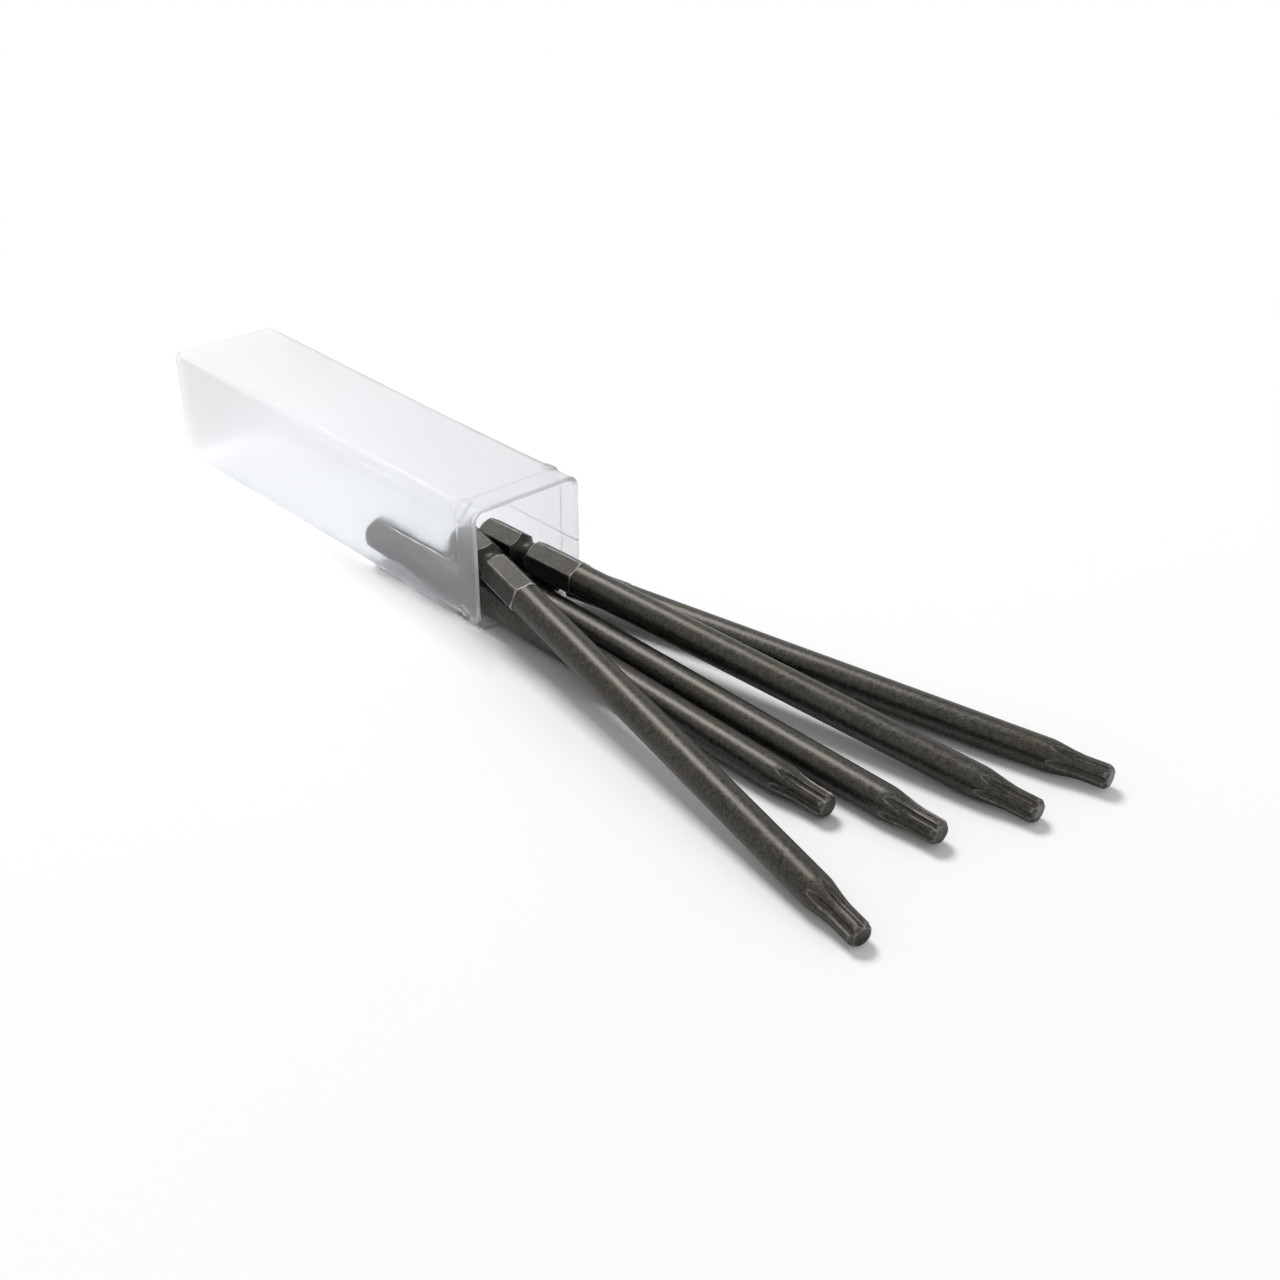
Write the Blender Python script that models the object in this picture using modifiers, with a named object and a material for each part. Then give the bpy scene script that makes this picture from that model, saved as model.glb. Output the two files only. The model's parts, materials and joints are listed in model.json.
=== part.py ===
"""Five long six-lobe power bits spilling from one half of a clear, square plastic case.

The case stands on z = 0 with its mouth towards +X, and the origin is the middle of its
underside. Each bit is modelled along +X from its shank end, and hangs on an empty at that
end, whose +X is the way in which the bit is pulled out.
"""

import math
from collections import namedtuple

import bmesh
import bpy
from mathutils import Matrix

# Driving dimensions, in metres.
# A bit: a quarter-inch hexagonal shank with a ball groove, a round shaft, a six-lobe tip.
BIT_LENGTH = 0.1235
HEX_ACROSS_FLATS = 0.00635
HEX_LENGTH = 0.025
SHANK_CHAMFER = 0.0011
HEX_EDGE_BREAK = 0.0003
GROOVE_CENTRE = 0.0116
GROOVE_RADIUS = 0.0026
GROOVE_NECK_DIAMETER = 0.0048
SHAFT_DIAMETER = 0.0063
SHAFT_END_DIAMETER = 0.00585
TIP_LENGTH = 0.012
TIP_DIAMETER = 0.0044
TIP_CHAMFER = 0.0004
FLUTE_COUNT = 6
FLUTE_RADIUS = 0.0009
FLUTE_ROOT_DIAMETER = 0.0031
FLUTE_LENGTH = 0.0105

# The case: a square tube, closed at one end, with a thinner neck that a cap slides over.
CASE_LENGTH = 0.110
WALL = 0.001
BITS_ABREAST = 3
SIDE_PLAY = 0.0018
CASE_CORNER_RADIUS = 0.0027
NECK_LENGTH = 0.0055
NECK_STEP = 0.0002
SNAP_HEIGHT = 0.0002
SNAP_THICKNESS = 0.0012
SNAP_LENGTH = 0.003
SNAP_SETBACK = 0.0040

# Clearance between a resting piece and its seat, and between neighbours.
REST_GAP = 0.0003

# How far the cutting shapes reach past what they cut.
ENVELOPE_CLEARANCE = 0.0002
FLUTE_RUN_OUT = 0.0018

# Fineness of the round shapes, and what counts as one corner or a sharp edge.
MERGE_DISTANCE = 0.000001
SHARP_ANGLE = math.radians(30)
TURNED_STEPS = 24
GROOVE_STEPS = 4
CUTTER_SIDES = 12
CORNER_SEGMENTS = 4

# What follows from the driving dimensions.
HEX_HALF = HEX_ACROSS_FLATS / 2
HEX_CORNER = HEX_HALF / math.cos(math.radians(30))
CAVITY_WIDTH = BITS_ABREAST * 2 * HEX_CORNER + SIDE_PLAY
CASE_WIDTH = CAVITY_WIDTH + 2 * WALL
MOUTH_X = CASE_LENGTH / 2
LANE_LEFT = -(CAVITY_WIDTH / 2 - REST_GAP - HEX_HALF)
LANE_MIDDLE = LANE_LEFT + HEX_HALF + HEX_CORNER + REST_GAP
LANE_RIGHT = LANE_MIDDLE + HEX_CORNER + HEX_HALF + REST_GAP

# How a bit lies: how far its shank end is behind the mouth, its place across the case, its
# heading from +X and the turn of its hexagon in degrees, and the bit that it lies on.
Lie = namedtuple("Lie", "setback side heading turn lies_on")
LIES = {
    "bit_left": Lie(0.0389, LANE_LEFT, 0.5, 30, None),
    "bit_middle": Lie(0.0223, LANE_MIDDLE, 0.8, 0, None),
    "bit_right": Lie(0.0100, LANE_RIGHT, 12.7, 30, None),
    "bit_top_left": Lie(0.0128, LANE_LEFT + 0.0027, -9.8, 11, "bit_left"),
    "bit_top_right": Lie(0.0142, LANE_MIDDLE + 0.0020, 7.6, 27, "bit_middle"),
}


def clear_scene():
    for obj in list(bpy.data.objects):
        bpy.data.objects.remove(obj, do_unlink=True)


def new_collection(name, hidden=False):
    collection = bpy.data.collections.new(name)
    collection.hide_render = hidden
    bpy.context.scene.collection.children.link(collection)
    return collection


def material(name, colour, roughness, metallic, transmission=0.0):
    made = bpy.data.materials.new(name)
    made.use_nodes = True
    shader = made.node_tree.nodes["Principled BSDF"]
    shader.inputs["Base Color"].default_value = (*colour, 1)
    shader.inputs["Roughness"].default_value = roughness
    shader.inputs["Metallic"].default_value = metallic
    shader.inputs["Transmission Weight"].default_value = transmission
    return made


def mesh_object(name, shape, collection):
    mesh = bpy.data.meshes.new(name)
    shape.to_mesh(mesh)
    shape.free()
    obj = bpy.data.objects.new(name, mesh)
    collection.objects.link(obj)
    return obj


def turned(name, profile, collection):
    """A solid of revolution about Z, from (radius, height) points that run from top to bottom."""
    shape = bmesh.new()
    points = [shape.verts.new((radius, 0, height)) for radius, height in profile]
    for start, end in zip(points, points[1:]):
        shape.edges.new((start, end))
    obj = mesh_object(name, shape, collection)
    screw = obj.modifiers.new("turn", "SCREW")
    screw.steps = TURNED_STEPS
    screw.render_steps = TURNED_STEPS
    screw.use_merge_vertices = True
    screw.merge_threshold = MERGE_DISTANCE
    return obj


def boolean(target, other, operation):
    other.display_type = "WIRE"
    modifier = target.modifiers.new(f"{operation.lower()} {other.name}", "BOOLEAN")
    modifier.operation = operation
    modifier.solver = "EXACT"
    modifier.object = other


# The bit, modelled along Z with its shank end at z = 0.


def hexagon_bar(cutters):
    shape = bmesh.new()
    bmesh.ops.create_cone(
        shape, cap_ends=True, segments=6, radius1=HEX_CORNER, radius2=HEX_CORNER, depth=HEX_LENGTH,
        matrix=Matrix.Translation((0, 0, HEX_LENGTH / 2)),
    )
    return mesh_object("hexagon_bar", shape, cutters)


def groove_profile(outer_radius):
    """The ball groove's arc, from the side nearest the shaft to the side nearest the shank end."""
    centre_radius = GROOVE_NECK_DIAMETER / 2 + GROOVE_RADIUS
    half_angle = math.acos((centre_radius - outer_radius) / GROOVE_RADIUS)
    points = []
    for step in range(GROOVE_STEPS + 1):
        angle = half_angle * (1 - 2 * step / GROOVE_STEPS)
        radius = centre_radius - GROOVE_RADIUS * math.cos(angle)
        points.append((radius, GROOVE_CENTRE + GROOVE_RADIUS * math.sin(angle)))
    return points


def shank_envelope(cutters):
    """Turned limits of the shank: a chamfer at its end, a ball groove and a broken edge."""
    outer = HEX_CORNER + ENVELOPE_CLEARANCE
    profile = [
        (0, HEX_LENGTH),
        (HEX_CORNER - HEX_EDGE_BREAK, HEX_LENGTH),
        (outer, HEX_LENGTH - HEX_EDGE_BREAK - outer + HEX_CORNER),
        *groove_profile(outer),
        (outer, SHANK_CHAMFER + outer - HEX_CORNER),
        (HEX_CORNER - SHANK_CHAMFER, 0),
        (0, 0),
    ]
    return turned("shank_envelope", profile, cutters)


def shaft(cutters):
    profile = [
        (0, BIT_LENGTH),
        (TIP_DIAMETER / 2 - TIP_CHAMFER, BIT_LENGTH),
        (TIP_DIAMETER / 2, BIT_LENGTH - TIP_CHAMFER),
        (SHAFT_END_DIAMETER / 2, BIT_LENGTH - TIP_LENGTH),
        (SHAFT_DIAMETER / 2, HEX_LENGTH),
        (SHAFT_DIAMETER / 2, HEX_LENGTH - SHANK_CHAMFER),
        (0, HEX_LENGTH - SHANK_CHAMFER),
    ]
    return turned("shaft", profile, cutters)


def flute_cutters(cutters):
    """Round cutters that lean outwards from the tip, so that each flute runs out in a point."""
    root = FLUTE_ROOT_DIAMETER / 2
    lean = math.atan((SHAFT_END_DIAMETER / 2 - root) / FLUTE_LENGTH)
    overshoot = FLUTE_RADIUS
    length = FLUTE_LENGTH + overshoot + FLUTE_RUN_OUT
    at_tip = Matrix.Translation((root + FLUTE_RADIUS / math.cos(lean), 0, BIT_LENGTH))
    along = Matrix.Rotation(-lean, 4, "Y") @ Matrix.Translation((0, 0, overshoot - length / 2))
    shape = bmesh.new()
    for number in range(FLUTE_COUNT):
        around = Matrix.Rotation(2 * math.pi * number / FLUTE_COUNT, 4, "Z")
        bmesh.ops.create_cone(
            shape, cap_ends=True, segments=CUTTER_SIDES, radius1=FLUTE_RADIUS,
            radius2=FLUTE_RADIUS, depth=length, matrix=around @ at_tip @ along,
        )
    return mesh_object("flute_cutters", shape, cutters)


def close_slivers(mesh):
    """Joins the coincident corners that the cuts leave, so that the mesh is closed at any size."""
    shape = bmesh.new()
    shape.from_mesh(mesh)
    bmesh.ops.remove_doubles(shape, verts=shape.verts, dist=MERGE_DISTANCE)
    shape.to_mesh(mesh)
    shape.free()


def bit_mesh(cutters):
    """One bit's mesh, which all the bits share, turned so that it runs along +X."""
    blank = hexagon_bar(cutters)
    boolean(blank, shank_envelope(cutters), "INTERSECT")
    boolean(blank, shaft(cutters), "UNION")
    boolean(blank, flute_cutters(cutters), "DIFFERENCE")
    evaluated = blank.evaluated_get(bpy.context.evaluated_depsgraph_get())
    mesh = bpy.data.meshes.new_from_object(evaluated)
    mesh.name = "bit"
    mesh.transform(Matrix.Rotation(math.radians(90), 4, "Y"))
    close_slivers(mesh)
    mesh.shade_smooth()
    mesh.set_sharp_from_angle(angle=SHARP_ANGLE)
    mesh.materials.clear()
    mesh.materials.append(material("gunmetal_steel", (0.13, 0.12, 0.11), 0.38, 0.9))
    return mesh


# How the bits lie.


def shank_end(lie):
    return MOUTH_X - lie.setback, lie.side


def direction(lie):
    heading = math.radians(lie.heading)
    return math.cos(heading), math.sin(heading)


def hexagon_reach(turn, towards=0):
    """How far a hexagon with this turn reaches, so many degrees from straight up or down."""
    from_flat = min((turn - towards) % 60, (towards - turn) % 60)
    return HEX_CORNER * math.cos(math.radians(30 - from_flat))


def crossing(upper, lower):
    """The distance from the upper bit's shank end to where it crosses the lower bit, or 0."""
    (upper_x, upper_y), (lower_x, lower_y) = shank_end(upper), shank_end(lower)
    (upper_dx, upper_dy), (lower_dx, lower_dy) = direction(upper), direction(lower)
    across = (lower_x - upper_x) * lower_dy - (lower_y - upper_y) * lower_dx
    return max(across / (upper_dx * lower_dy - upper_dy * lower_dx), 0)


def seat(lie):
    """Where a bit is held up: the distance from its shank end, and its axis's height there.

    A bit on the case's floor lies at the mouth, just high enough for its hexagon to pass out.
    """
    if lie.lies_on is None:
        return lie.setback / direction(lie)[0], WALL + REST_GAP + hexagon_reach(lie.turn)
    lower = LIES[lie.lies_on]
    station = crossing(lie, lower)
    (x, y), (dx, dy) = shank_end(lie), direction(lie)
    (lower_x, lower_y), (lower_dx, lower_dy) = shank_end(lower), direction(lower)
    offset_x, offset_y = x + station * dx - lower_x, y + station * dy - lower_y
    along = offset_x * lower_dx + offset_y * lower_dy
    aside = offset_y * lower_dx - offset_x * lower_dy
    towards = -math.degrees(math.asin(aside / (2 * HEX_CORNER)))
    spacing = hexagon_reach(lower.turn, towards) + hexagon_reach(lie.turn, towards) + REST_GAP
    return station, axis_height(lower, along) + math.sqrt(spacing**2 - aside**2)


def pitch(lie):
    """The slope of a bit between its seat and the table, which its tip or its shoulder meets."""
    station, height = seat(lie)
    on_tip = (height - TIP_DIAMETER / 2) / (BIT_LENGTH - station)
    on_shoulder = (height - SHAFT_END_DIAMETER / 2) / (BIT_LENGTH - TIP_LENGTH - station)
    return math.asin(min(on_tip, on_shoulder))


def axis_height(lie, station):
    seat_station, seat_height = seat(lie)
    return seat_height + (seat_station - station) * math.sin(pitch(lie))


def slide_slope(lie):
    """A bit on the case's floor slides out along its own axis, and one on top slides out level."""
    return pitch(lie) if lie.lies_on is None else 0


def place_bit(name, lie, mesh, collection):
    slide = bpy.data.objects.new(f"{name}_slide", None)
    collection.objects.link(slide)
    slide.location = (*shank_end(lie), axis_height(lie, 0))
    slide.rotation_euler = (0, slide_slope(lie), math.radians(lie.heading))
    bit = bpy.data.objects.new(name, mesh)
    collection.objects.link(bit)
    bit.parent = slide
    bit.rotation_euler = (math.radians(lie.turn), pitch(lie) - slide_slope(lie), 0)


# The case.


def rounded_bar(name, start_x, end_x, width, radius, collection):
    """A square bar along X, centred on the case's axis, with its four long edges rounded."""
    length = end_x - start_x
    middle = Matrix.Translation(((start_x + end_x) / 2, 0, CASE_WIDTH / 2))
    shape = bmesh.new()
    bmesh.ops.create_cube(shape, size=1, matrix=middle @ Matrix.Diagonal((length, width, width, 1)))
    long_edges = [edge for edge in shape.edges if abs(edge.verts[0].co.x - edge.verts[1].co.x) > length / 2]
    bmesh.ops.bevel(
        shape, geom=long_edges, offset=radius, segments=CORNER_SEGMENTS, profile=0.5, affect="EDGES",
    )
    return mesh_object(name, shape, collection)


def snap_bumps(neck_width, cutters):
    """Two low ribs on each face of the neck, beside its corners."""
    middle = Matrix.Translation((MOUTH_X - SNAP_SETBACK, 0, CASE_WIDTH / 2))
    height = neck_width / 2 + SNAP_HEIGHT - SNAP_THICKNESS / 2
    side = neck_width / 2 - CASE_CORNER_RADIUS - SNAP_LENGTH / 2
    lying = Matrix.Rotation(math.radians(90), 4, "X")
    shape = bmesh.new()
    for face in range(4):
        around = Matrix.Rotation(math.radians(90 * face), 4, "X")
        for across in (-side, side):
            bmesh.ops.create_cone(
                shape, cap_ends=True, segments=CUTTER_SIDES, radius1=SNAP_THICKNESS / 2,
                radius2=SNAP_THICKNESS / 2, depth=SNAP_LENGTH,
                matrix=middle @ around @ Matrix.Translation((0, across, height)) @ lying,
            )
    return mesh_object("snap_bumps", shape, cutters)


def build_case(collection, cutters):
    neck_width = CASE_WIDTH - 2 * NECK_STEP
    neck_x = MOUTH_X - NECK_LENGTH
    case = rounded_bar("storage_case", -MOUTH_X, neck_x, CASE_WIDTH, CASE_CORNER_RADIUS, collection)
    neck = rounded_bar(
        "neck", neck_x - NECK_LENGTH, MOUTH_X, neck_width, CASE_CORNER_RADIUS - NECK_STEP, cutters
    )
    cavity = rounded_bar(
        "cavity", -MOUTH_X + WALL, MOUTH_X + NECK_LENGTH, CAVITY_WIDTH, CASE_CORNER_RADIUS - WALL, cutters
    )
    boolean(case, neck, "UNION")
    boolean(case, snap_bumps(neck_width, cutters), "UNION")
    boolean(case, cavity, "DIFFERENCE")
    case.data.materials.append(material("clear_plastic", (0.92, 0.93, 0.93), 0.15, 0, 0.9))


def main():
    clear_scene()
    parts = new_collection("bit_case_with_bits")
    cutters = new_collection("cutters", hidden=True)
    build_case(parts, cutters)
    mesh = bit_mesh(cutters)
    for name, lie in LIES.items():
        place_bit(name, lie, mesh, parts)


main()
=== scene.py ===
"""Long screwdriver bits fanned out of a clear square case, drawn where the CAD's nodes lie.

Each bit and the case is one closed mesh, lofted ring by ring. Lengths are in metres, in the frame of
the CAD: +X to the mouth of the case, +Z up, origin under the case.
"""

import json
import math

import bmesh
import bpy
from bpy.props import FloatProperty, FloatVectorProperty, IntProperty, PointerProperty
from mathutils import Matrix, Vector


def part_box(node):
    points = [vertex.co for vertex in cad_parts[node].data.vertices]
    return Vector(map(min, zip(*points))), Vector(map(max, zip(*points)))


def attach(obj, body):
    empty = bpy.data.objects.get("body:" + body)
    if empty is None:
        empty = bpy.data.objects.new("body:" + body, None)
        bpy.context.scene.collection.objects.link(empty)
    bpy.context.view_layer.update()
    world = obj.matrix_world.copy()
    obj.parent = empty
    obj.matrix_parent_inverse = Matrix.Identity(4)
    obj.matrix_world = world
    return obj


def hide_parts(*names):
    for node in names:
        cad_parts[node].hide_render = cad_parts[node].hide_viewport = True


bl_info = {
    "name": "Long screwdriver bit set",
    "version": (1, 0, 0),
    "blender": (4, 5, 0),
    "location": "View3D > Sidebar > Bit Set",
    "description": "Builds a clear square case with five long six-lobe screwdriver bits",
    "category": "Add Mesh",
}

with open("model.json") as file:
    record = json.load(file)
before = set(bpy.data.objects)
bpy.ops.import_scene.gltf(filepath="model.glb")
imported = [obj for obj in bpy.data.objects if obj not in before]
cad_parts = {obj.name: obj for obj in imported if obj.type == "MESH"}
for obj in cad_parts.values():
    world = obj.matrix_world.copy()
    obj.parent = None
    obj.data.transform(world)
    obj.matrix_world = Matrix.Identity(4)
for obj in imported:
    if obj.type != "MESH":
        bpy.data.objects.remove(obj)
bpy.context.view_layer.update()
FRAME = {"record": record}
MOUNTS = {mount["name"]: mount for mount in FRAME["record"]["mounts"]}

# How far one flat of each hexagon is rolled from facing up, towards the near side, and how far the
# six-lobe end is turned against the hexagon, in degrees.
BITS = {
    "bit_left": (30, 4),
    "bit_middle": (0, 22),
    "bit_right": (30, 10),
    "bit_top_left": (11, 14),
    "bit_top_right": (27, 0),
}
CASE_NODE = "storage_case"
CASE_BODY = "case"

# The floor is plain paper round its middle point and fades to an even white glow between two
# distances from it. Its mesh runs through rings of (radius, height).
FLOOR_MIDDLE = (0.05, 0.0, 0.0)
PAPER_FADES = (0.10, 0.28)
FLOOR_RINGS = ((0.25, 0.0), (0.6, 0.0), (1.5, 0.0), (2.6, 0.0), (3.0, 0.05))
FLOOR_SIDES = 64
LAMP_DISTANCE = 2.0

# A bit repeats six times round its axis. Its points lie closer together beside the hexagon's corners.
SECTOR = 60
CORNER_STEPS = (26.6, 27.6, 28.4, 29.2)
SECTOR_STEPS = (-30, *(-step for step in reversed(CORNER_STEPS)), *range(-25, 26, 2), *CORNER_STEPS)

# An edge shows wear from the first angle on, in full after the second more, and splits the shading at
# the third, in degrees.
WEAR_START = 4
WEAR_SPAN = 10
SHARP_ANGLE = 32

# Fine shape of a bit's steel: holding rings beside each edge, the rounding of the shank end, the plain
# rings on both sides of the groove, and the shoulder.
SUPPORT = 0.00007
END_ROUNDING = 0.00006
END_FACE_RING = 0.0002
BEFORE_GROOVE = (0.004, 0.007)
AFTER_GROOVE = (0.0165, 0.019, 0.0215)
GROOVE_STEPS = 18
SHOULDER_SLOPE = 0.45
SHAFT_SHARES = (0.004, 0.02, 0.06, 0.12, 0.2, 0.28, 0.36, 0.44, 0.52, 0.6, 0.68, 0.76, 0.84, 0.92, 0.97, 1.0)

# Fine shape of the six-lobe end: where its neck begins and how much of it the neck takes, how it
# falls, the flutes' run-out and the rounded end.
TIP_ROWS = 56
NECK_BEGINS = 0.05
NECK_SHARE = 0.60
NECK_POWER = 0.85
FLUTE_CUTTER = 0.015
FULL_FLUTE_LENGTH = 0.0048
FLUTE_EDGE = 0.00004
END_BEVEL_LENGTH = 0.0009
END_BEVEL_DEPTH = 0.00062
END_BEVEL_POWER = 1.6

# The case's snap marks: for each corner, the middle and half width of its pad round the wall, and
# the middle and half length back from the rim. A pad rises and is hollowed in its middle. Its reach
# and the width of its outline of painted shade are shares of its half size.
SNAP_PADS = {0: (0.0002, 0.0026, 0.0048, 0.0020), 1: (-0.0023, 0.0014, 0.0044, 0.0018),
             2: (0.0023, 0.0014, 0.0044, 0.0018), 3: (0.0016, 0.0015, 0.0060, 0.0015)}
PAD_REACH = 1.6
PAD_HEIGHT = 0.00034
PAD_HOLLOW = 0.00022
PAD_OUTLINE = 0.11

# The part lines on the case's side walls, and the collar's edge, each shown with a thin line of painted
# shade.
SIDE_WALL = 0.011
PART_LINE_END = 0.028
PART_LINE_WIDTH = 0.00018
PART_LINE_HEIGHT = 0.00022
PART_LINE_SHADE = 0.45
PART_LINE_FADE = 0.004
NEAR_LINE_HEIGHT = 0.000699
NEAR_LINE_SLOPE = 0.03
NEAR_LINE_STOP = 0.0060
HOOK_BACK = 0.0064
HOOK_HEIGHT = 0.0004
HOOK_RADIUS = 0.0005
FAR_LINE_HEIGHT = -0.0019
LINE_WIDTH = 0.00016
COLLAR_SHADE = 0.45

# Spacing of the case's outer rings where they are further back from the rim than the first number,
# and beside the collar's step.
RING_SPACINGS = ((0.034, 0.004), (0.010, 0.0008), (0.0, 0.0002))
COLLAR_ZONE = 0.0006
COLLAR_SPACING = 0.00008

# The case's rounded edges, how far its walls sink in or swell out, how fast its corners widen towards
# the mouth, and the rings of its inside, back from the rim.
CLOSED_EDGE = 0.0007
LIP = 0.00028
OUTER_STOP = 0.0003
BOWL = 0.0006
RIM_SWELL = 0.00012
SINK = 0.00012
CORNER_WIDENS = 1.6
INSIDE_STEP = 0.00010
INSIDE_BACKS = (0.0012, 0.0022, 0.0030, 0.0038, 0.0043, 0.0046, 0.0050, 0.0062, 0.0075, 0.009, 0.012, 0.018,
                0.026, 0.036, 0.048, 0.060, 0.072, 0.084, 0.096, 0.104, 0.107)

# ---------------------------------------------------------------------------------------------
# Settings


class BitSettings(bpy.types.PropertyGroup):
    """Sizes of one bit and the colours of its steel"""

    across_flats: FloatProperty(
        name="Across flats", description="Width of the hexagon between two flats",
        default=0.00635, min=0.003, unit="LENGTH", precision=5)
    corner_half_width: FloatProperty(
        name="Corner rounding", description="Half the width of the rounded strip along each hexagon corner",
        default=0.00015, min=0.0, unit="LENGTH", precision=5)
    hexagon_length: FloatProperty(
        name="Hexagon length", description="From the shank end to the shoulder",
        default=0.025, min=0.01, unit="LENGTH", precision=4)
    end_radius: FloatProperty(
        name="Shank end radius", description="Radius of the flat face at the shank end",
        default=0.00257, min=0.001, unit="LENGTH", precision=5)
    groove_centre: FloatProperty(
        name="Groove place", description="From the shank end to the middle of the retaining groove",
        default=0.0116, min=0.0, unit="LENGTH", precision=4)
    groove_radius: FloatProperty(
        name="Groove radius", description="Radius of the groove's hollow",
        default=0.0026, min=0.0005, unit="LENGTH", precision=4)
    groove_neck: FloatProperty(
        name="Groove neck radius", description="Radius left at the bottom of the groove",
        default=0.0024, min=0.0005, unit="LENGTH", precision=4)
    shaft_radius: FloatProperty(
        name="Shaft radius", description="Radius of the round shaft beside the shoulder",
        default=0.00315, min=0.001, unit="LENGTH", precision=5)
    shaft_end_radius: FloatProperty(
        name="Shaft end radius", description="Radius of the round shaft where the tip begins",
        default=0.002925, min=0.001, unit="LENGTH", precision=5)
    tip_length: FloatProperty(
        name="Tip length", description="Length of the necked six-lobe end",
        default=0.012, min=0.002, unit="LENGTH", precision=4)
    tip_radius: FloatProperty(
        name="Tip radius", description="Radius over the lobes at the end",
        default=0.0022, min=0.0005, unit="LENGTH", precision=5)
    flute_root: FloatProperty(
        name="Flute root", description="Radius at the bottom of the flutes",
        default=0.00174, min=0.0003, unit="LENGTH", precision=5)
    flute_radius: FloatProperty(
        name="Flute radius", description="Radius of each flute's hollow",
        default=0.00074, min=0.0001, unit="LENGTH", precision=5)
    steel_dark: FloatVectorProperty(
        name="Dark finish", description="Colour of the phosphate finish in its darker grains",
        subtype="COLOR", size=3, default=(0.024, 0.0224, 0.0193), min=0.0, max=1.0)
    steel_light: FloatVectorProperty(
        name="Light finish", description="Colour of the phosphate finish in its paler grains",
        subtype="COLOR", size=3, default=(0.066, 0.062, 0.0535), min=0.0, max=1.0)
    bare_steel: FloatVectorProperty(
        name="Bare steel", description="Colour of the metal where edges have rubbed bright",
        subtype="COLOR", size=3, default=(0.50, 0.48, 0.45), min=0.0, max=1.0)


class CaseSettings(bpy.types.PropertyGroup):
    """Sizes and colour of the clear case"""

    wall: FloatProperty(
        name="Wall", description="Thickness of the walls", default=0.001, min=0.0003,
        unit="LENGTH", precision=4)
    mouth_corner: FloatProperty(
        name="Mouth corner radius", description="Outer corner radius at the open end",
        default=0.0027, min=0.0005, unit="LENGTH", precision=4)
    closed_corner: FloatProperty(
        name="Closed corner radius", description="Outer corner radius at the closed end",
        default=0.0016, min=0.0005, unit="LENGTH", precision=4)
    neck_length: FloatProperty(
        name="Neck length", description="Length of the thinner collar that the cap slides on",
        default=0.0052, min=0.0, unit="LENGTH", precision=4)
    neck_step: FloatProperty(
        name="Neck step", description="How far the collar is set in from the outer walls",
        default=0.00012, min=0.0, unit="LENGTH", precision=5)
    side_points: IntProperty(
        name="Points on a side", description="Mesh points across each wall", default=120, min=8)
    corner_points: IntProperty(
        name="Points on a corner", description="Mesh points round each corner", default=14, min=2)
    plastic: FloatVectorProperty(
        name="Plastic", description="Colour of the clear plastic", subtype="COLOR", size=3,
        default=(0.920, 0.926, 0.934), min=0.0, max=1.0)


class StageSettings(bpy.types.PropertyGroup):
    """Floor, lamps and camera"""

    floor_colour: FloatVectorProperty(
        name="Floor", description="Colour of the floor", subtype="COLOR", size=3,
        default=(0.90, 0.90, 0.91), min=0.0, max=1.0)
    key_power: FloatProperty(
        name="Key power", description="Power of the large lamp behind the case", default=23.0,
        min=0.0, unit="POWER")
    fill_power: FloatProperty(
        name="Fill power", description="Power of the weak lamp on the camera's side", default=2.0,
        min=0.0, unit="POWER")
    room_light: FloatProperty(
        name="Room light", description="Strength of the even light from all round", default=0.38,
        min=0.0)
    azimuth: FloatProperty(
        name="Azimuth", description="Camera's turn round the object", default=math.radians(47.39),
        subtype="ANGLE")
    elevation: FloatProperty(
        name="Elevation", description="Camera's height above the floor plane",
        default=math.radians(30.83), subtype="ANGLE")
    roll: FloatProperty(
        name="Roll", description="Camera's turn about its own line of sight",
        default=math.radians(0.20), subtype="ANGLE")
    distance: FloatProperty(
        name="Distance", description="From the camera to the point it looks at", default=0.3134,
        min=0.01, unit="LENGTH")
    lens: FloatProperty(
        name="Lens", description="Focal length for a 36 mm sensor", default=46.29, min=1.0,
        unit="CAMERA")
    target: FloatVectorProperty(
        name="Target", description="Point the camera looks at", subtype="TRANSLATION", size=3,
        unit="LENGTH", default=(0.07736, 0.00863, 0.0), precision=5)


# ---------------------------------------------------------------------------------------------
# Mesh helpers


def loft(name, rings, wear_share=None):
    """A mesh through rings of equal length; a first or last ring of one point closes that end.

    Its edge_wear attribute is 1 along sharp outward edges, times wear_share at that point.
    """
    surface = bmesh.new()
    rows = [[surface.verts.new(point) for point in ring] for ring in rings]
    count = max(len(row) for row in rows)
    for before, after in zip(rows, rows[1:]):
        for step in range(count):
            following = (step + 1) % count
            corners = [before[step % len(before)], before[following % len(before)],
                       after[following % len(after)], after[step % len(after)]]
            corners = list(dict.fromkeys(corners))
            if len(corners) > 2:
                surface.faces.new(corners)
    bmesh.ops.recalc_face_normals(surface, faces=surface.faces)
    for face in surface.faces:
        face.smooth = True
    surface.verts.index_update()
    wear = [0.0] * len(surface.verts)
    for edge in surface.edges:
        angle = math.degrees(edge.calc_face_angle_signed(0.0))
        amount = max(0.0, min(1.0, (angle - WEAR_START) / WEAR_SPAN))
        for vertex in edge.verts:
            share = wear_share(vertex.co) if wear_share else 1.0
            wear[vertex.index] = max(wear[vertex.index], amount * share)
    mesh = bpy.data.meshes.new(name)
    surface.to_mesh(mesh)
    surface.free()
    mesh.attributes.new("edge_wear", "FLOAT", "POINT").data.foreach_set("value", wear)
    mesh.set_sharp_from_angle(angle=math.radians(SHARP_ANGLE))
    return mesh


def add_object(name, mesh, surface):
    """A new object with one material, linked to the scene."""
    piece = bpy.data.objects.new(name, mesh)
    bpy.context.scene.collection.objects.link(piece)
    mesh.materials.append(surface)
    return piece


def ease(share):
    """A smooth step from 0 to 1."""
    share = max(0.0, min(1.0, share))
    return share * share * (3 - 2 * share)


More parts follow.
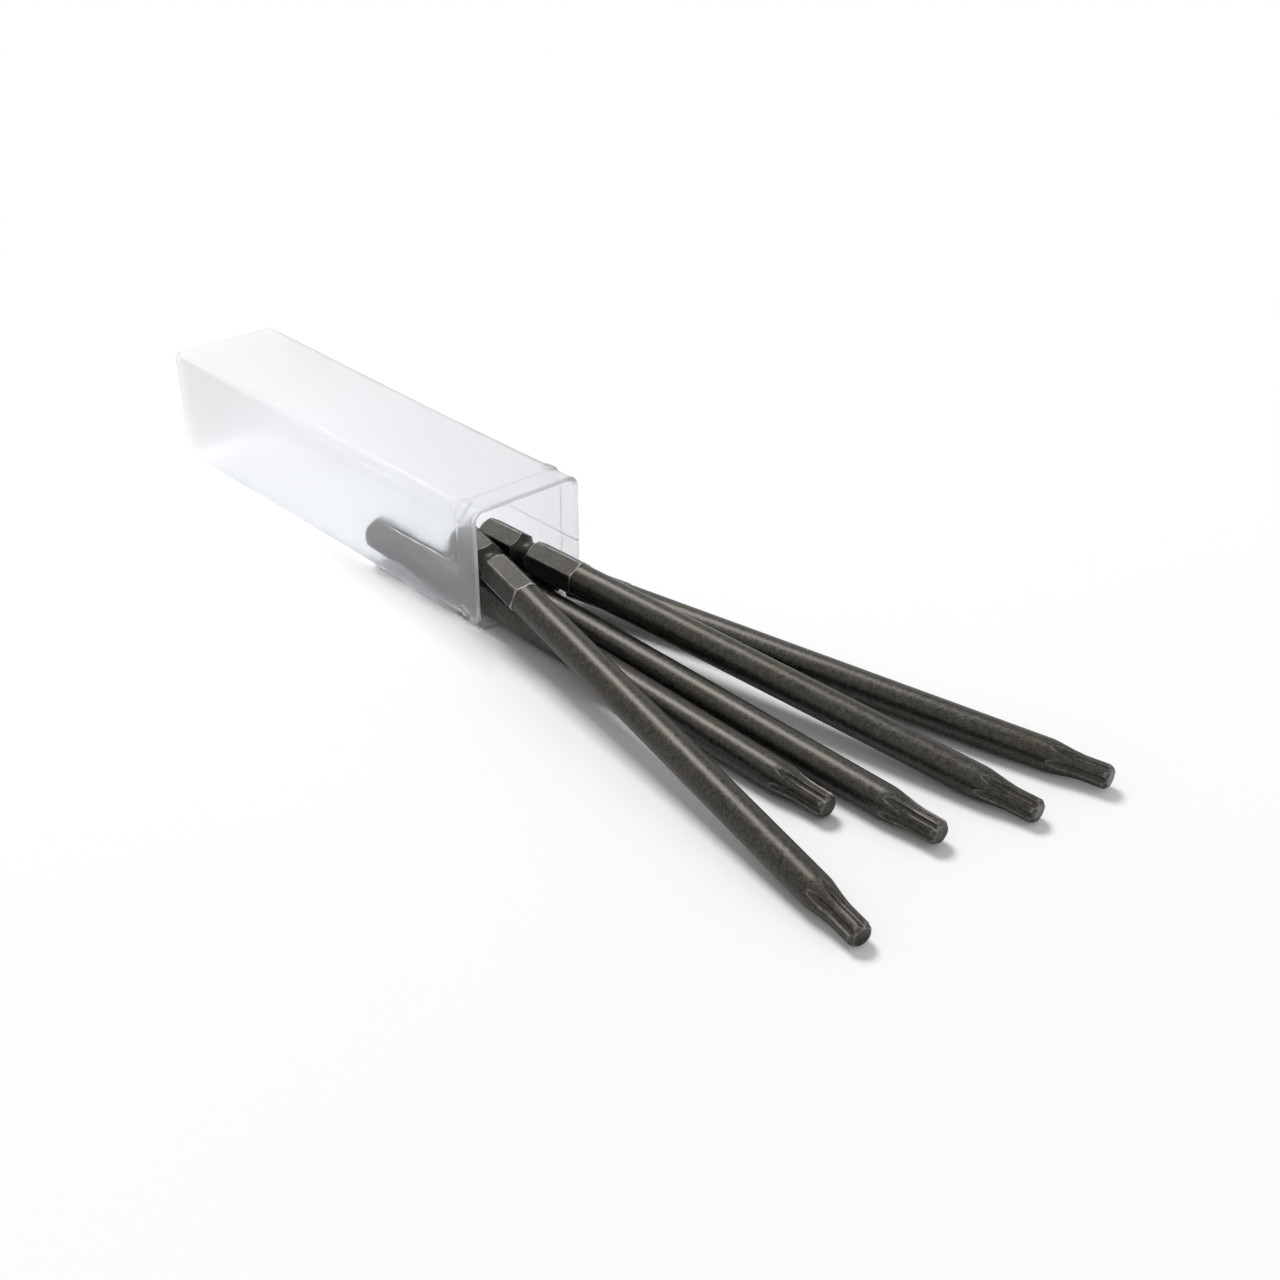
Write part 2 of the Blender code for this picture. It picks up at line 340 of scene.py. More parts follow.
def soft_min(first, second, width):
    """The lesser of two lengths, rounded over where they cross."""
    blend = max(0.0, min(1.0, 0.5 + 0.5 * (second - first) / width))
    return second + (first - second) * blend - width * blend * (1 - blend)


# ---------------------------------------------------------------------------------------------
# Bits


def from_sector_middle(angle):
    """How far an angle is from the middle of its flat or flute, in degrees."""
    return (angle + SECTOR / 2) % SECTOR - SECTOR / 2


def hexagon_radius(size, angle):
    """Radius of the hexagon's outline at an angle from the middle of a flat."""
    half = size.across_flats / 2
    half_sector = math.radians(SECTOR / 2)
    corner_start = half_sector - size.corner_half_width * math.cos(half_sector) / half
    within = math.radians(from_sector_middle(angle))
    return min(half / math.cos(within), half / math.cos(corner_start))


def groove_half(size, radius):
    """Half the groove's length where the shank has this radius."""
    rise = size.groove_neck + size.groove_radius - radius
    return math.sqrt(size.groove_radius ** 2 - rise ** 2)


def shank_end_line(size, radius):
    """(station, radius) pairs of the flat shank end and its slightly bulging chamfer."""
    end_radius = size.end_radius
    line = [(0.0, end_radius * 0.5), (0.0, end_radius - END_FACE_RING), (0.0, end_radius - END_ROUNDING),
            (0.00004, end_radius)]
    chamfer = radius - end_radius
    for share in (0.25, 0.5, 0.75):
        bulge = END_ROUNDING * math.sin(math.pi * share)
        line.append((chamfer * share - bulge * 0.6, end_radius + chamfer * share + bulge * 0.4))
    line += [(chamfer, radius), (chamfer + SUPPORT, radius)]
    return line


def shank_line(size, angle):
    """(station, radius) pairs along the hexagonal shank at one angle."""
    radius = hexagon_radius(size, angle)
    line = shank_end_line(size, radius)
    line += [(station, radius) for station in BEFORE_GROOVE]
    half = groove_half(size, radius)
    start = size.groove_centre - half
    end = size.groove_centre + half
    line += [(start - SUPPORT, radius), (start, radius)]
    for step in range(1, GROOVE_STEPS):
        offset = half * math.sin(math.pi * (step / GROOVE_STEPS - 0.5))
        hollow = size.groove_neck + size.groove_radius - math.sqrt(size.groove_radius ** 2 - offset ** 2)
        line.append((size.groove_centre + offset, hollow))
    line += [(end, radius), (end + SUPPORT, radius)]
    line += [(station, radius) for station in AFTER_GROOVE]
    step_height = radius - size.shaft_radius
    slope = step_height * SHOULDER_SLOPE
    shoulder = size.hexagon_length - slope
    line += [(shoulder - SUPPORT * 2, radius), (shoulder - SUPPORT * 0.5, radius)]
    line.append((shoulder + slope * 0.3, radius - step_height * 0.22))
    line.append((size.hexagon_length, size.shaft_radius))
    line.append((size.hexagon_length + SUPPORT, size.shaft_radius))
    return line


def shaft_line(size, length):
    """(station, radius) pairs along the slightly tapered round shaft."""
    start = size.hexagon_length + SUPPORT
    span = length - size.tip_length - start
    taper = size.shaft_end_radius - size.shaft_radius
    return [(start + span * share, size.shaft_radius + taper * share) for share in SHAFT_SHARES]


def flute_depth_radius(size, before):
    """Radius at the bottom of a flute, this far before the flutes have their full depth."""
    if before <= 0:
        return size.flute_root
    return size.flute_root + FLUTE_CUTTER - math.sqrt(max(FLUTE_CUTTER ** 2 - before ** 2, 0.0))


def tip_line(size, angle, length):
    """(station, radius) pairs along the necked six-lobe end; angle 0 is the middle of a flute."""
    within = math.radians(from_sector_middle(angle))
    line = []
    for row in range(1, TIP_ROWS + 1):
        share = row / TIP_ROWS
        station = length - size.tip_length * (1 - share)
        fall = ease((share - NECK_BEGINS) / NECK_SHARE) ** NECK_POWER
        radius = size.shaft_end_radius + (size.tip_radius - size.shaft_end_radius) * fall
        centre = flute_depth_radius(size, length - FULL_FLUTE_LENGTH - station) + size.flute_radius
        reach = size.flute_radius ** 2 - (centre * math.sin(within)) ** 2
        if reach > 0:
            radius = soft_min(radius, centre * math.cos(within) - math.sqrt(reach), FLUTE_EDGE)
        from_end = length - station
        if from_end < END_BEVEL_LENGTH:
            bevel = (1 - from_end / END_BEVEL_LENGTH) ** END_BEVEL_POWER
            radius = soft_min(radius, size.tip_radius - bevel * END_BEVEL_DEPTH, FLUTE_EDGE)
        line.append((station, radius))
    line.append((length, line[-1][1] * 0.9))
    line.append((length - 0.00004, line[-1][1] * 0.5))
    return line


def bit_rings(size, length, tip_turn):
    """The rings of points of one bit, lying along +X with a flat of its hexagon facing +Z."""
    angles = [SECTOR * sector + step for sector in range(6) for step in SECTOR_STEPS]
    lines = [shank_line(size, angle) + shaft_line(size, length) + tip_line(size, angle + tip_turn, length)
             for angle in angles]
    rings = [[Vector((0.0, 0.0, 0.0))]]
    for row in zip(*lines):
        ring = []
        for angle, (station, radius) in zip(angles, row):
            turn = math.radians(angle)
            ring.append(Vector((station, -radius * math.sin(turn), radius * math.cos(turn))))
        rings.append(ring)
    rings.append([Vector((length - END_ROUNDING, 0.0, 0.0))])
    return rings


def bit_place(node, roll):
    """(matrix, length) that lays a bit from its shank end to its tip, rolled about its own line."""
    start = Vector(MOUNTS[node + "_shank_end"]["pos_m"])
    end = Vector(MOUNTS[node + "_tip_end"]["pos_m"])
    along = (end - start).normalized()
    level = Vector((0, 0, 1)).cross(along).normalized()
    raised = along.cross(level)
    turn = math.radians(roll)
    face = raised * math.cos(turn) - level * math.sin(turn)
    across = face.cross(along)
    matrix = Matrix((along, across, face)).transposed().to_4x4()
    matrix.translation = start
    return matrix, (end - start).length


# ---------------------------------------------------------------------------------------------
# Case


def square_ring(sizes, station, half, radius, relief=None):
    """One ring of the case's rounded square, from the top wall round by the near, bottom and far walls.

    relief(corner, girth, station, place) gives how far a point stands off and how strongly its painted
    shade shows; girth is the distance round the wall from the middle of the nearest corner, and place is the
    point on the plain ring. The painted shade strengths are added to sizes["marks"].
    """
    ring = []
    flat = half - radius
    half_arc = radius * math.pi / 4
    for wall in range(4):
        turn = math.radians(90 * wall)
        normal = Vector((0, -math.sin(turn), math.cos(turn)))
        tangent = Vector((0, -math.cos(turn), -math.sin(turn)))
        spots = []
        for step in range(sizes["side_points"]):
            along = flat * (2 * step / sizes["side_points"] - 1)
            spots.append((tangent * along + normal * half, normal, along))
        for step in range(sizes["corner_points"]):
            bend = math.pi / 2 * step / sizes["corner_points"]
            outward = normal * math.cos(bend) + tangent * math.sin(bend)
            spots.append(((tangent + normal) * flat + outward * radius, outward, flat + radius * bend))
        for place, outward, along in spots:
            mark = 0.0
            if relief:
                corner, girth = wall, along - flat - half_arc
                if along < 0:
                    corner, girth = (wall + 3) % 4, along + flat + half_arc
                height, mark = relief(corner, girth, station, place)
                place = place + outward * height
            ring.append(Vector((station, place.y, place.z + sizes["middle"])))
            sizes["marks"].append(mark)
    return ring


def ridge(distance, width):
    """A rounded ridge's share of its height at a distance from its middle line."""
    return math.exp(-(distance / width) ** 2)


def relief_and_painted_shade(mouth, collar):
    """The relief of the outer walls and its lines of painted shade, as a function for square_ring."""

    def relief(corner, girth, station, place):
        back = mouth - station
        height = 0.0
        # mark is how strongly a point gets painted shade: along the collar's edge, round each pad's outline
        # and on the part lines.
        mark = COLLAR_SHADE * ridge(back - collar, LINE_WIDTH)
        middle, half_width, along, half_length = SNAP_PADS[corner]
        out = math.hypot((girth - middle) / half_width, (back - along) / half_length)
        if out < PAD_REACH:
            height += PAD_HEIGHT * ease((1.06 - out) / 0.16) - PAD_HOLLOW * ease((0.80 - out) / 0.2)
            mark = max(mark, ridge(out - 1.0, PAD_OUTLINE))
        if abs(place.y) > SIDE_WALL:
            strength = part_line(place, back)
            height += PART_LINE_HEIGHT * strength
            mark = max(mark, PART_LINE_SHADE * strength)
        return height, mark

    return relief


def part_line(place, back):
    """Strength of the thin part line on a side wall; the near one ends in a small hook before the rim."""
    fading = ease((PART_LINE_END - back) / PART_LINE_FADE)
    if place.y > 0:
        return fading * ridge(place.z - FAR_LINE_HEIGHT, PART_LINE_WIDTH)
    line = place.z - (NEAR_LINE_HEIGHT - NEAR_LINE_SLOPE * back)
    stopped = ease((back - NEAR_LINE_STOP) / 0.0006)
    from_hook = math.hypot(back - HOOK_BACK, line - HOOK_HEIGHT)
    return max(fading * stopped * ridge(line, PART_LINE_WIDTH), ridge(from_hook - HOOK_RADIUS, LINE_WIDTH))


def outer_stations(start, mouth, collar):
    """Stations of the outer wall's rings, closer together towards the marks and the collar's step."""
    stations = []
    station = start
    while station < mouth - OUTER_STOP:
        back = mouth - station
        spacing = next(spacing for reach, spacing in RING_SPACINGS if back > reach)
        if abs(back - collar) < COLLAR_ZONE:
            spacing = COLLAR_SPACING
        station += spacing
        stations.append(min(station, mouth - OUTER_STOP))
    return stations


def quarter(steps):
    """Sines and cosines of a quarter turn in even steps, without its start."""
    return [(math.sin(math.pi / 2 * step / steps), math.cos(math.pi / 2 * step / steps))
            for step in range(1, steps + 1)]


def case_rings(settings, box):
    """The rings of the case, from the closed end to the rim and back down the inside, and the strength of
    painted shade at each point.
    """
    low, high = box
    closed, mouth = low.x, high.x
    half = (high.y - low.y) / 2
    wall = settings.wall
    sizes = {"side_points": settings.side_points, "corner_points": settings.corner_points,
             "middle": (low.z + high.z) / 2, "marks": [0.0]}
    relief = relief_and_painted_shade(mouth, settings.neck_length)
    rings = [[Vector((closed, 0.0, sizes["middle"]))]]

    def add(station, reach, radius, marked=False):
        rings.append(square_ring(sizes, station, reach, radius, relief if marked else None))

    def corner(station):
        share = (station - closed) / (mouth - closed)
        widening = settings.mouth_corner - settings.closed_corner
        return settings.closed_corner + widening * min(1.0, share * CORNER_WIDENS)

    def half_at(station):
        inset = settings.neck_step * ease((station - mouth + settings.neck_length) / 0.0003)
        rim = RIM_SWELL * ease((station - (mouth - 0.0010)) / 0.0006)
        share = (station - closed) / (mouth - closed)
        return half - inset + rim - SINK * math.sin(math.pi * max(0.0, min(1.0, share)))

    for share in (0.25, 0.55, 0.8):
        add(closed, (half - CLOSED_EDGE) * share, corner(closed) * share)
    for sine, cosine in [(0.0, 1.0)] + quarter(4):
        drop = CLOSED_EDGE * (1 - sine)
        add(closed + CLOSED_EDGE * (1 - cosine), half - drop, max(corner(closed) - drop, 0.0004))
    for station in outer_stations(closed + CLOSED_EDGE, mouth, settings.neck_length):
        add(station, half_at(station), corner(station), marked=True)

    for sine, cosine in quarter(4):
        drop = LIP * (1 - cosine)
        add(mouth - LIP + LIP * sine, half_at(mouth) - drop, corner(mouth) - drop)
    inner = half - wall
    for sine, cosine in [(0.0, 1.0)] + quarter(3):
        drop = LIP * (1 - sine)
        add(mouth - LIP * (1 - cosine), inner + drop, corner(mouth) - wall + drop)

    for back in INSIDE_BACKS:
        inset = INSIDE_STEP * ease((back - 0.0030) / 0.0012)
        add(mouth - back, inner - inset, max(corner(mouth - back) - wall, 0.0005))
    floor_station = closed + wall * 1.1
    for sine, cosine in quarter(4):
        drop = BOWL * (1 - cosine)
        add(floor_station + BOWL * (1 - sine), inner - INSIDE_STEP - drop,
            max(corner(closed) - wall - drop * 0.5, 0.0003))
    for share in (0.8, 0.5, 0.2):
        add(floor_station, (inner - INSIDE_STEP) * share, 0.0003 * share)
    rings.append([Vector((floor_station, 0.0, sizes["middle"]))])
    return rings, sizes["marks"] + [0.0]


# ---------------------------------------------------------------------------------------------
# Shader node groups and materials


class NodeTree:
    """A short way to add and link nodes in one tree."""

    def __init__(self, tree):
        self.tree = tree

    def add(self, kind, settings=None, **inputs):
        """A new node, with its settings and its inputs set or linked; _ stands for a space in a name."""
        node = self.tree.nodes.new(kind)
        for name, value in (settings or {}).items():
            setattr(node, name, value)
        for name, value in inputs.items():
            self.set(node, name.replace("_", " "), value)
        return node

    def set(self, node, name, value):
        """Sets an input to a value, or links it when the value is another node's output."""
        socket = node.inputs[name]
        if isinstance(value, bpy.types.NodeSocket):
            self.tree.links.new(value, socket)
        else:
            socket.default_value = value

    def math(self, operation, first, second=0.0, clamp=False):
        """The output of a Math node."""
        node = self.tree.nodes.new("ShaderNodeMath")
        node.operation = operation
        node.use_clamp = clamp
        for place, value in enumerate((first, second)):
            self.set(node, place, value)
        return node.outputs[0]

    def ramp(self, factor, low, high):
        """Maps factor from low..high to 0..1, clamped."""
        node = self.add("ShaderNodeMapRange", {"clamp": True})
        for name, value in (("Value", factor), ("From Min", low), ("From Max", high)):
            self.set(node, name, value)
        return node.outputs["Result"]

    def mix_colour(self, factor, first, second):
        """A colour from first at factor 0 to second at 1."""
        node = self.tree.nodes.new("ShaderNodeMix")
        node.data_type = "RGBA"
        for place, value in ((0, factor), (6, first), (7, second)):
            self.set(node, place, value)
        return node.outputs[2]

    def mix_shader(self, factor, first, second):
        """Two nodes' surfaces mixed: the first at factor 0, the second at 1."""
        node = self.tree.nodes.new("ShaderNodeMixShader")
        for place, value in enumerate((factor, first.outputs[0], second.outputs[0])):
            self.tree.links.new(value, node.inputs[place])
        return node

    def finish(self, shader):
        """Shows this shader on the material."""
        self.tree.links.new(shader.outputs[0], self.tree.nodes["Material Output"].inputs["Surface"])


def new_group(name, inputs, outputs):
    """An empty shader node group with named sockets: (tree helper, its inputs' sockets, output node)."""
    group = bpy.data.node_groups.new(name, "ShaderNodeTree")
    for label, kind, default in inputs:
        socket = group.interface.new_socket(name=label, in_out="INPUT", socket_type=kind)
        if default is not None:
            socket.default_value = default
    for label, kind in outputs:
        group.interface.new_socket(name=label, in_out="OUTPUT", socket_type=kind)
    tree = NodeTree(group)
    return tree, group.nodes.new("NodeGroupInput").outputs, group.nodes.new("NodeGroupOutput")


def fine_grain_group():
    """Pits and pale grains of a blasted or moulded surface."""
    tree, given, result = new_group(
        "Fine grain",
        [("Vector", "NodeSocketVector", None), ("Grain size", "NodeSocketFloat", 0.0002),
         ("Seed", "NodeSocketFloat", 0.0), ("Pit share", "NodeSocketFloat", 0.3)],
        [("Grain", "NodeSocketFloat"), ("Pits", "NodeSocketFloat"), ("Height", "NodeSocketFloat")])
    scale = tree.math("DIVIDE", 1.0, given["Grain size"])
    seeded = {"Vector": given["Vector"], "W": given["Seed"]}
    fine = tree.add("ShaderNodeTexNoise", {"noise_dimensions": "4D"}, **seeded,
                    Scale=scale, Detail=3.0, Roughness=0.62)
    coarse = tree.add("ShaderNodeTexNoise", {"noise_dimensions": "4D"}, **seeded,
                      Scale=tree.math("MULTIPLY", scale, 0.3), Detail=2.0, Roughness=0.5)
    blend = tree.math("ADD", tree.math("MULTIPLY", fine.outputs["Fac"], 0.65),
                      tree.math("MULTIPLY", coarse.outputs["Fac"], 0.35))
    grain = tree.ramp(blend, 0.41, 0.60)
    cells = tree.add("ShaderNodeTexVoronoi", {"voronoi_dimensions": "4D"}, **seeded,
                     Scale=tree.math("MULTIPLY", scale, 0.45), Randomness=1.0)
    pits = tree.math("SUBTRACT", 1.0, tree.ramp(cells.outputs["Distance"], 0.0, given["Pit share"]))
    height = tree.math("SUBTRACT", blend, tree.math("MULTIPLY", pits, 0.5))
    for name, value in (("Grain", grain), ("Pits", pits), ("Height", height)):
        tree.set(result, name, value)
    return tree.tree


def edge_rub_group():
    """Where an edge has rubbed bright, broken up along its length."""
    tree, given, result = new_group(
        "Edge rub",
        [("Vector", "NodeSocketVector", None), ("Edge", "NodeSocketFloat", 0.0),
         ("Patch size", "NodeSocketFloat", 0.001), ("Amount", "NodeSocketFloat", 0.5)],
        [("Mask", "NodeSocketFloat")])
    noise = tree.add("ShaderNodeTexNoise", Vector=given["Vector"],
                     Scale=tree.math("DIVIDE", 1.0, given["Patch size"]), Detail=3.0, Roughness=0.6)
    patch = tree.ramp(noise.outputs["Fac"], 0.30, 0.66)
    share = tree.math("ADD", tree.math("MULTIPLY", patch, given["Amount"]),
                      tree.math("SUBTRACT", 1.0, given["Amount"]))
    mask = tree.math("MULTIPLY", given["Edge"], share, clamp=True)
    tree.set(result, "Mask", mask)
    return tree.tree


def scuff_group():
    """Thin scuffs that run along X."""
    tree, given, result = new_group(
        "Scuffs",
        [("Vector", "NodeSocketVector", None), ("Width", "NodeSocketFloat", 0.0002),
         ("Length", "NodeSocketFloat", 0.006), ("Amount", "NodeSocketFloat", 0.4)],
        [("Mask", "NodeSocketFloat")])
    parts = tree.add("ShaderNodeSeparateXYZ", Vector=given["Vector"])
    joined = tree.add("ShaderNodeCombineXYZ", X=tree.math("DIVIDE", parts.outputs["X"], given["Length"]),
                      Y=tree.math("DIVIDE", parts.outputs["Y"], given["Width"]),
                      Z=tree.math("DIVIDE", parts.outputs["Z"], given["Width"]))
    noise = tree.add("ShaderNodeTexNoise", Vector=joined.outputs[0], Scale=1.0, Detail=2.0, Roughness=0.5)
    lines = tree.ramp(noise.outputs["Fac"], 0.56, 0.74)
    tree.set(result, "Mask", tree.math("MULTIPLY", lines, given["Amount"]))
    return tree.tree


def new_material(name):
    """A material with nodes: (material, tree helper, Principled node)."""
    surface = bpy.data.materials.new(name)
    surface.use_nodes = True
    tree = NodeTree(surface.node_tree)
    return surface, tree, surface.node_tree.nodes["Principled BSDF"]


def use_group(tree, group, **inputs):
    """The outputs of a new node that holds the group."""
    node = tree.tree.nodes.new("ShaderNodeGroup")
    node.node_tree = group
    for name, value in inputs.items():
        tree.set(node, name.replace("_", " "), value)
    return node.outputs


def gunmetal_steel(settings, groups):
    """Satin phosphate-grey tool steel with pale grains, dark pits, bright rubbed edges and painted shade
    over the hexagon.
    """
    surface, tree, shader = new_material("gunmetal_steel")
    place = tree.add("ShaderNodeTexCoord").outputs["Object"]
    edge = tree.add("ShaderNodeAttribute", {"attribute_name": "edge_wear"}).outputs["Fac"]
    seed = tree.add("ShaderNodeAttribute", {"attribute_name": "bit_number"}).outputs["Fac"]
    grain = use_group(tree, groups["grain"], Vector=place, Grain_size=0.00023, Seed=seed, Pit_share=0.17)
    rub = use_group(tree, groups["rub"], Vector=place, Edge=edge, Patch_size=0.0011, Amount=0.75)
    scuffs = use_group(tree, groups["scuffs"], Vector=place, Width=0.00012, Length=0.0015, Amount=0.07)
    clouds = tree.add("ShaderNodeTexNoise", {"noise_dimensions": "4D"}, Vector=place, W=seed,
                      Scale=170.0, Detail=2.0)
    along = tree.add("ShaderNodeSeparateXYZ", Vector=place).outputs["X"]
    hexagon = tree.ramp(along, settings.hexagon_length, settings.hexagon_length - 0.0006)
    dark = (*settings.steel_dark, 1.0)
    light = (*settings.steel_light, 1.0)
    bare = (*settings.bare_steel, 1.0)
    pit = (0.018, 0.017, 0.016, 1.0)
    # Painted shade: a near-black colour laid over the hexagonal shank so its flats, which face the key lamp,
    # render darker.
    hexagon_painted_shade = (0.008, 0.0075, 0.007, 1.0)
    warm = (*(channel * share for channel, share in zip(settings.steel_light, (0.86, 0.74, 0.58))), 1.0)
    colour = tree.mix_colour(grain["Grain"], dark, light)
    cloudy = tree.ramp(clouds.outputs["Fac"], 0.45, 0.75)
    colour = tree.mix_colour(tree.math("MULTIPLY", cloudy, 0.25), colour, warm)
    colour = tree.mix_colour(tree.math("MULTIPLY", grain["Pits"], 0.6), colour, pit)
    # Painted shade over the hexagon.
    colour = tree.mix_colour(tree.math("MULTIPLY", hexagon, 0.42), colour, hexagon_painted_shade)
    colour = tree.mix_colour(scuffs["Mask"], colour, bare)
    colour = tree.mix_colour(tree.math("MULTIPLY", rub["Mask"], 0.8), colour, bare)
    rough = tree.math("ADD", 0.31, tree.math("MULTIPLY", grain["Grain"], 0.14))
    rough = tree.math("ADD", rough, tree.math("MULTIPLY", hexagon, 0.08))
    rough = tree.math("SUBTRACT", rough, tree.math("MULTIPLY", rub["Mask"], 0.10))
    bump = tree.add("ShaderNodeBump", Height=grain["Height"], Strength=0.4, Distance=0.000022)
    tree.set(shader, "Base Color", colour)
    tree.set(shader, "Roughness", rough)
    tree.set(shader, "Metallic", 0.88)
    tree.set(shader, "Normal", bump.outputs["Normal"])
    return surface


def clear_plastic(settings, groups):
    """Thin, slightly milky moulded plastic that lets lamp light through to what lies inside and under it,
    with grey lines of painted shade along its moulded edges.
    """
    surface, tree, shader = new_material("clear_plastic")
    place = tree.add("ShaderNodeTexCoord").outputs["Object"]
    grain = use_group(tree, groups["grain"], Vector=place, Grain_size=0.0006, Seed=3.0, Pit_share=0.10)
    scuffs = use_group(tree, groups["scuffs"], Vector=place, Width=0.0014, Length=0.020, Amount=0.10)
    mark = tree.add("ShaderNodeAttribute", {"attribute_name": "painted_edge_shade"}).outputs["Fac"]
    flow = tree.add("ShaderNodeTexNoise", Vector=place, Scale=38.0, Detail=1.5, Distortion=0.3)
    parts = tree.add("ShaderNodeSeparateXYZ", Vector=place)
    cloudy = tree.ramp(parts.outputs["X"], 0.030, -0.050)
    rough = tree.math("ADD", 0.285, tree.math("MULTIPLY", cloudy, 0.12))
    rough = tree.math("ADD", rough, tree.math("MULTIPLY", scuffs["Mask"], 0.05))
    cooler = (*(channel * share for channel, share in zip(settings.plastic, (0.985, 0.99, 1.0))), 1.0)
    milky = (0.975, 0.977, 0.982, 1.0)
    edge_shade_grey = (0.56, 0.58, 0.60, 1.0)
    tint = tree.mix_colour(flow.outputs["Fac"], (*settings.plastic, 1.0), cooler)
    tint = tree.mix_colour(tree.math("MULTIPLY", cloudy, 0.7), tint, milky)
    # Painted shade: a grey line laid along the part lines, pad outlines and collar edge of the clear
    # plastic.
    tint = tree.mix_colour(tree.math("MULTIPLY", mark, 0.8), tint, edge_shade_grey)
    height = tree.math("ADD", flow.outputs["Fac"], tree.math("MULTIPLY", grain["Height"], 0.03))
    bump = tree.add("ShaderNodeBump", Height=height, Strength=0.04, Distance=0.0004)
    tree.set(shader, "Base Color", tint)
    tree.set(shader, "Roughness", rough)
    tree.set(shader, "Metallic", 0.0)
    tree.set(shader, "IOR", 1.19)
    tree.set(shader, "Specular IOR Level", 0.5)
    tree.set(shader, "Transmission Weight", 0.86)
    tree.set(shader, "Normal", bump.outputs["Normal"])
    path = tree.add("ShaderNodeLightPath")
    through = tree.add("ShaderNodeBsdfTransparent", Color=(0.775, 0.78, 0.785, 1.0))
    tree.finish(tree.mix_shader(path.outputs["Is Shadow Ray"], shader, through))
    return surface


def seen_by_eye(tree):
    """1 where the camera looks, also by a reflection or through the plastic; 0 for bounced light."""
    path = tree.add("ShaderNodeLightPath").outputs
    return tree.math("MAXIMUM", path["Is Camera Ray"],
                     tree.math("MAXIMUM", path["Is Glossy Ray"], path["Is Transmission Ray"]))


def pale_floor(settings, groups):
    """Matt white table paper. Camera, mirror and glass rays see it lifted to the backdrop's white."""
    surface, tree, shader = new_material("pale_floor")
    place = tree.add("ShaderNodeTexCoord").outputs["Object"]
    grain = use_group(tree, groups["grain"], Vector=place, Grain_size=0.0009, Seed=9.0, Pit_share=0.05)
    colour = tree.mix_colour(tree.math("MULTIPLY", grain["Grain"], 0.25), (*settings.floor_colour, 1.0),
                             tuple(channel * 0.99 for channel in settings.floor_colour) + (1.0,))
    tree.set(shader, "Base Color", colour)
    tree.set(shader, "Roughness", 1.0)
    tree.set(shader, "Specular IOR Level", 0.0)
    glow = tree.add("ShaderNodeEmission", Color=(1.0, 1.0, 1.0, 1.0), Strength=1.0)
    paper = tree.add("ShaderNodeBsdfDiffuse", Color=(1.15, 1.15, 1.155, 1.0))
    middle = tree.add("ShaderNodeVectorMath", {"operation": "DISTANCE"})
    tree.set(middle, 0, place)
    tree.set(middle, 1, FLOOR_MIDDLE)
    shown = tree.mix_shader(tree.ramp(middle.outputs["Value"], *PAPER_FADES), paper, glow)
    tree.finish(tree.mix_shader(seen_by_eye(tree), shader, shown))
    return surface


def shared_groups():
    """The node groups that several materials use, built once."""
    makers = {"grain": ("Fine grain", fine_grain_group), "rub": ("Edge rub", edge_rub_group),
              "scuffs": ("Scuffs", scuff_group)}
    return {key: bpy.data.node_groups.get(name) or make() for key, (name, make) in makers.items()}


# ---------------------------------------------------------------------------------------------
# Operators


class MESH_OT_add_long_bits(bpy.types.Operator):
    """Add the five long six-lobe bits where the frame holds them"""

    bl_idname = "mesh.add_long_bits"
    bl_label = "Add Long Bits"

    def execute(self, context):
        settings = context.scene.bit_settings
        steel = gunmetal_steel(settings, shared_groups())
        for number, (node, (roll, tip_turn)) in enumerate(BITS.items()):
            matrix, length = bit_place(node, roll)
            tip_start = length - settings.tip_length
            mesh = loft(node + "_steel", bit_rings(settings, length, tip_turn),
                        lambda point: 1.0 - 0.72 * ease((point.x - tip_start) / 0.001))
            mesh.attributes.new("bit_number", "FLOAT", "POINT").data.foreach_set(
                "value", [float(number)] * len(mesh.vertices))
            bit = add_object(node + "_steel", mesh, steel)
            bit.matrix_world = matrix
            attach(bit, node)
            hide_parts(node)
        return {"FINISHED"}


class MESH_OT_add_clear_case(bpy.types.Operator):
    """Add the clear square case with its collar, rim and moulded marks, and lines of painted shade along
    their edges
    """

    bl_idname = "mesh.add_clear_case"
    bl_label = "Add Clear Case"

    def execute(self, context):
        settings = context.scene.case_settings
        plastic = clear_plastic(settings, shared_groups())
        rings, marks = case_rings(settings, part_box(CASE_NODE))
        mesh = loft("case_shell", rings)
        # Strength of the painted shade at each point, read by the plastic's material.
        mesh.attributes.new("painted_edge_shade", "FLOAT", "POINT").data.foreach_set("value", marks)
        shell = add_object("case_shell", mesh, plastic)
        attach(shell, CASE_BODY)
        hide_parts(CASE_NODE)
        return {"FINISHED"}


class SCENE_OT_add_bit_set_stage(bpy.types.Operator):
    """Add the pale floor, the soft lamps, the backdrop and the camera"""

    bl_idname = "scene.add_bit_set_stage"
    bl_label = "Add Stage"

    def execute(self, context):
        settings = context.scene.stage_settings
        add_floor(settings)
        add_backdrop(settings)
        add_lamp("key_lamp", settings.target, towards=(-0.53, 0.12, 0.82), size=(0.74, 0.58),
                 power=settings.key_power)
        add_lamp("fill_lamp", settings.target, towards=(0.75, 0.35, 0.55), size=(0.8, 0.8),
                 power=settings.fill_power)
        add_camera(settings)
        return {"FINISHED"}


def add_floor(settings):
    """A wide floor that bends up slightly at its far edge."""
    centre = Vector(settings.target)
    rings = [[centre]]
    turns = [2 * math.pi * step / FLOOR_SIDES for step in range(FLOOR_SIDES)]
    for radius, height in FLOOR_RINGS:
        rings.append([centre + Vector((radius * math.cos(turn), radius * math.sin(turn), height))
                      for turn in turns])
    floor = add_object("floor", loft("floor", rings), pale_floor(settings, shared_groups()))


